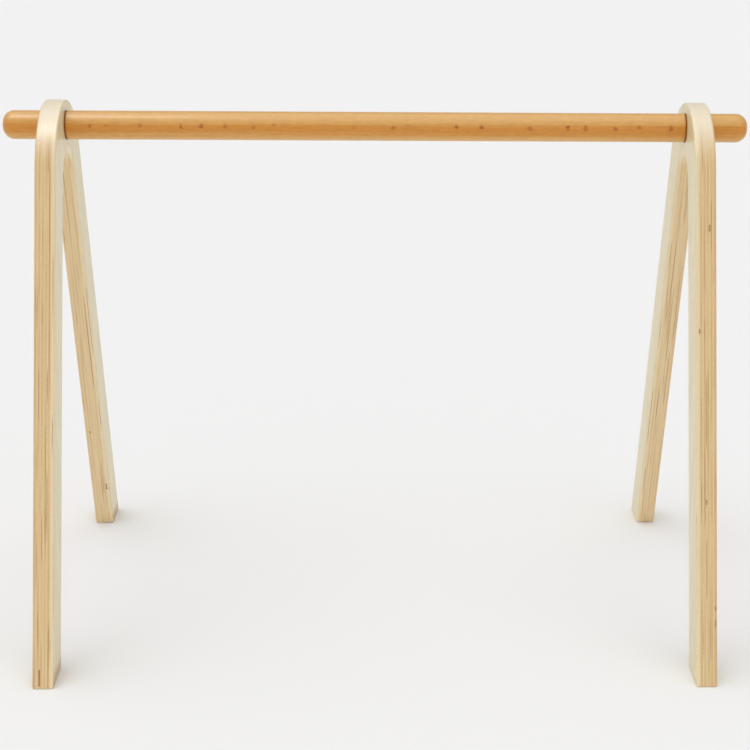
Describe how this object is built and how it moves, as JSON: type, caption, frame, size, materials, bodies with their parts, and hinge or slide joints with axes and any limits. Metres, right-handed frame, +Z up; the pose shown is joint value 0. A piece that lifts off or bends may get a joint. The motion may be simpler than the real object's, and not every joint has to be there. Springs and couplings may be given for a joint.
{
  "type": "play gym",
  "caption": "Wooden baby play gym: round-topped A-shaped plywood side frames on a round beech crossbar that toys hang from, its rounded ends standing proud of the frames.",
  "frame": {"origin": "on the floor, under the middle of the crossbar", "axes": "+X along the crossbar towards the right frame, +Y from the front feet to the rear feet, +Z up"},
  "size_m": [0.65, 0.4146, 0.461],
  "materials": {
    "birch_plywood": "sanded, clear matt lacquer",
    "varnished_beech": "clear varnish, satin to gloss"
  },
  "bodies": {
    "crossbar": {"crossbar": "varnished_beech"},
    "left_frame": {"left_frame": "birch_plywood"},
    "right_frame": {"right_frame": "birch_plywood"}
  },
  "joints": [
    {"name": "left_frame_slide", "type": "slide", "parent": "crossbar", "child": "left_frame", "axis": [-1, 0, 0], "range_m": [-0.27, 0.06]},
    {"name": "right_frame_slide", "type": "slide", "parent": "crossbar", "child": "right_frame", "axis": [1, 0, 0], "range_m": [-0.27, 0.06]}
  ]
}
